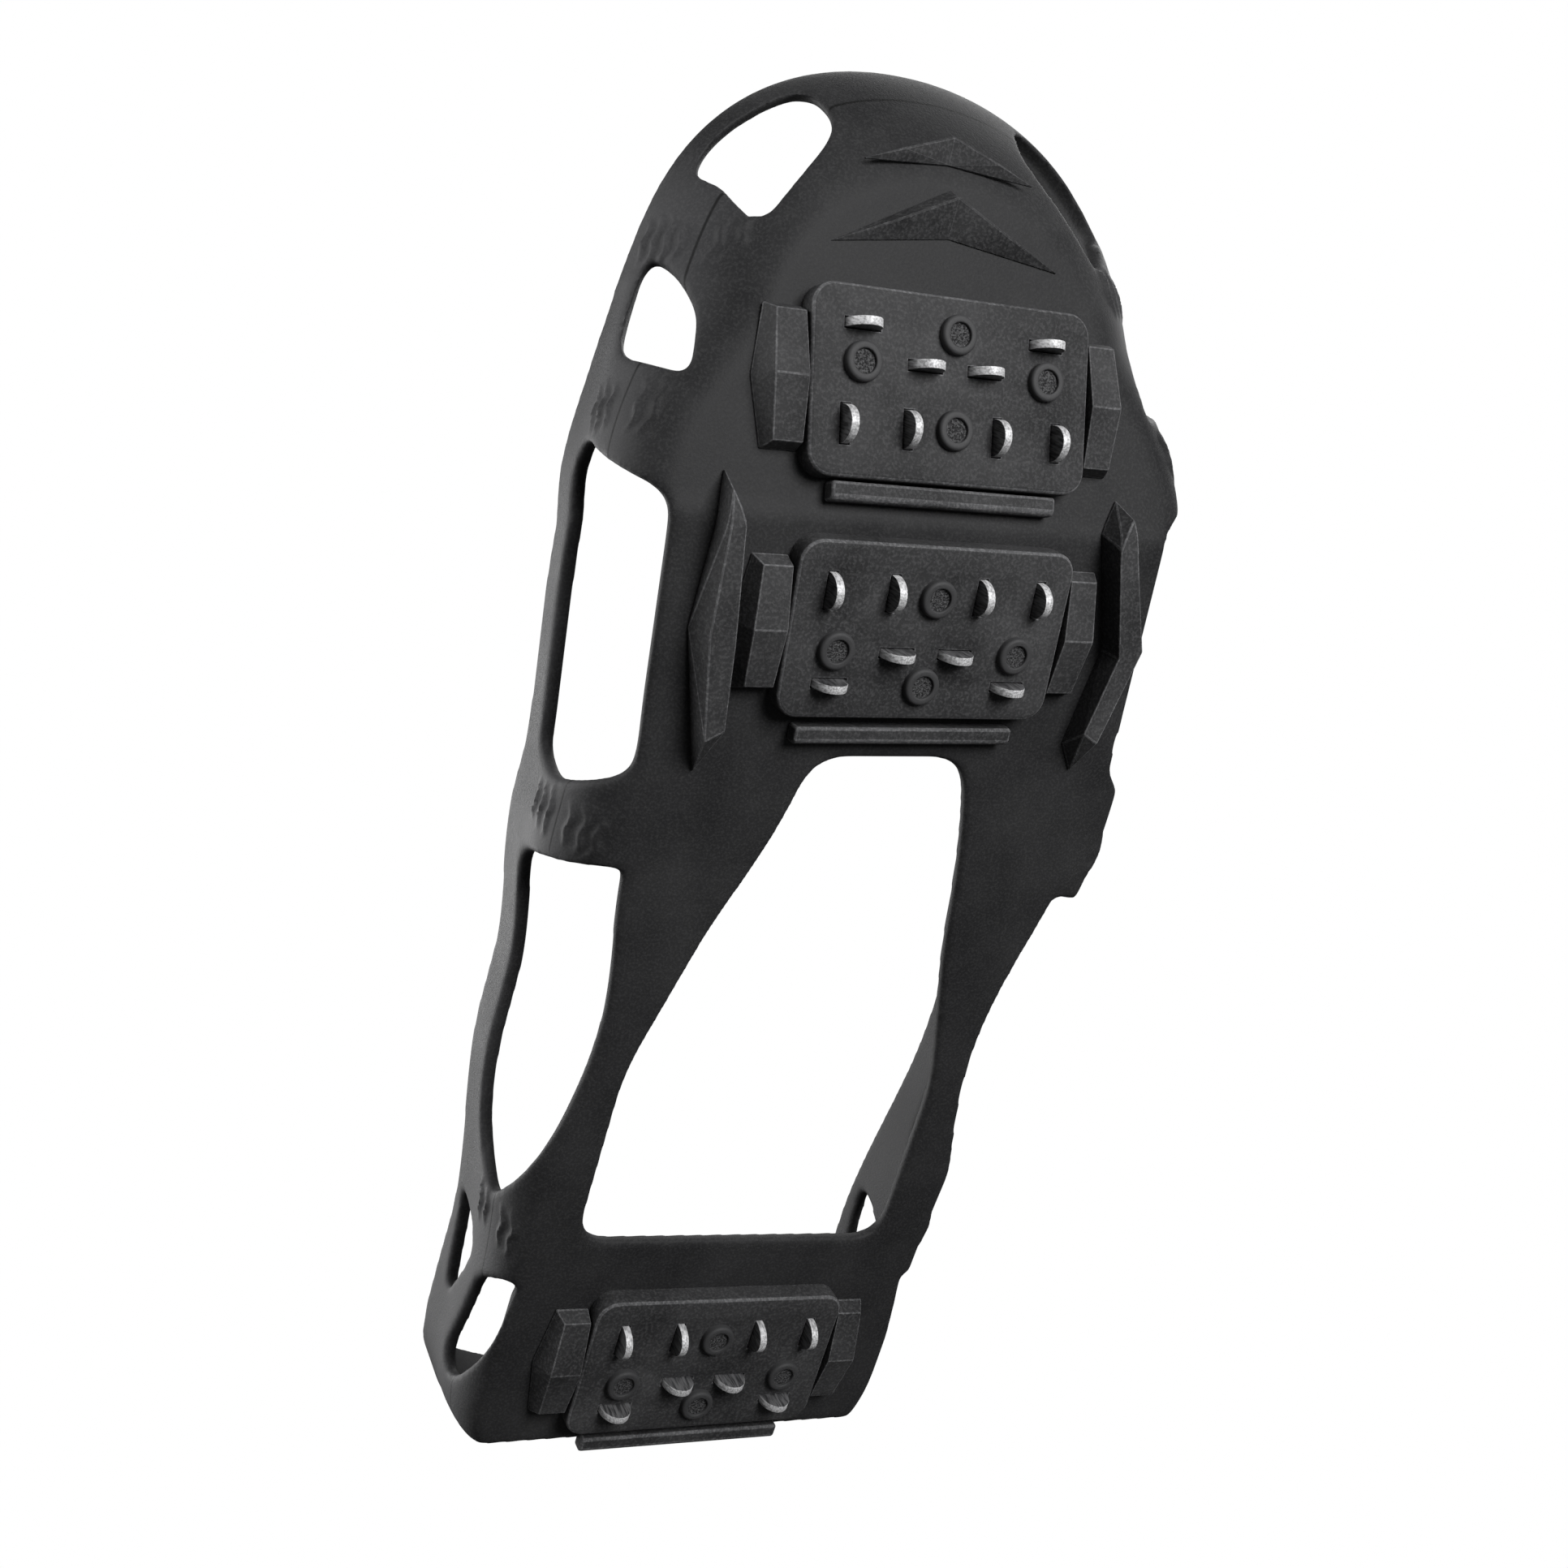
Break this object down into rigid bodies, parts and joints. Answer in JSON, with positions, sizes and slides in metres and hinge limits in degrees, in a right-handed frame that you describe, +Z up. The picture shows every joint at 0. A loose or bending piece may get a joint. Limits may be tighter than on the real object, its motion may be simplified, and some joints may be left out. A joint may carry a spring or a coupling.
{
  "type": "over-shoe ice cleat",
  "caption": "Pull-on rubber shoe harness with an open arch, side windows and a heel strap, carrying toothed steel tread plates under forefoot and heel for grip on ice.",
  "frame": {"origin": "middle of the footprint, on the ground plane that the tips of the mid and heel teeth touch", "axes": "+Y toward the toe, +Z up into the shoe, +X toward the side nearer the viewer in the picture"},
  "size_m": [0.1328, 0.302, 0.0583],
  "materials": {
    "harness_rubber": "matt moulded rubber",
    "tread_rubber": "matt, slightly dusty tread rubber",
    "plate_steel": "stamped steel with bright worn tooth tips",
    "rivet_steel": "blackened steel with a rough dished head"
  },
  "bodies": {
    "midfoot": {"sling_mid": "harness_rubber", "forefoot_flex_links": "harness_rubber", "arch_flex_links": "harness_rubber", "mid_pad": "tread_rubber", "mid_cleat_plate": "plate_steel", "mid_rivets": "rivet_steel", "mid_side_lugs": "tread_rubber", "mid_bar": "tread_rubber", "left_blade": "tread_rubber", "right_blade": "tread_rubber"},
    "forefoot": {"sling_toe": "harness_rubber", "front_pad": "tread_rubber", "front_cleat_plate": "plate_steel", "front_rivets": "rivet_steel", "front_side_lugs": "tread_rubber", "front_bar": "tread_rubber", "toe_chevron_large": "tread_rubber", "toe_chevron_small": "tread_rubber"},
    "heel": {"sling_heel": "harness_rubber", "heel_pad": "tread_rubber", "heel_cleat_plate": "plate_steel", "heel_rivets": "rivet_steel", "heel_side_lugs": "tread_rubber", "heel_bar": "tread_rubber"}
  },
  "joints": [
    {"name": "forefoot_flex", "type": "hinge", "parent": "midfoot", "child": "forefoot", "pos_m": [-0.00393, 0.07377, 0.01], "axis": [1, 0, 0], "range_deg": [-15, 30], "stiffness_Nm_per_rad": 3, "deforming": ["forefoot_flex_links"]},
    {"name": "arch_flex", "type": "hinge", "parent": "midfoot", "child": "heel", "pos_m": [0.00403, -0.0292, 0.01], "axis": [-0.9914, -0.1305, 0], "range_deg": [-15, 60], "stiffness_Nm_per_rad": 3, "deforming": ["arch_flex_links"]}
  ]
}
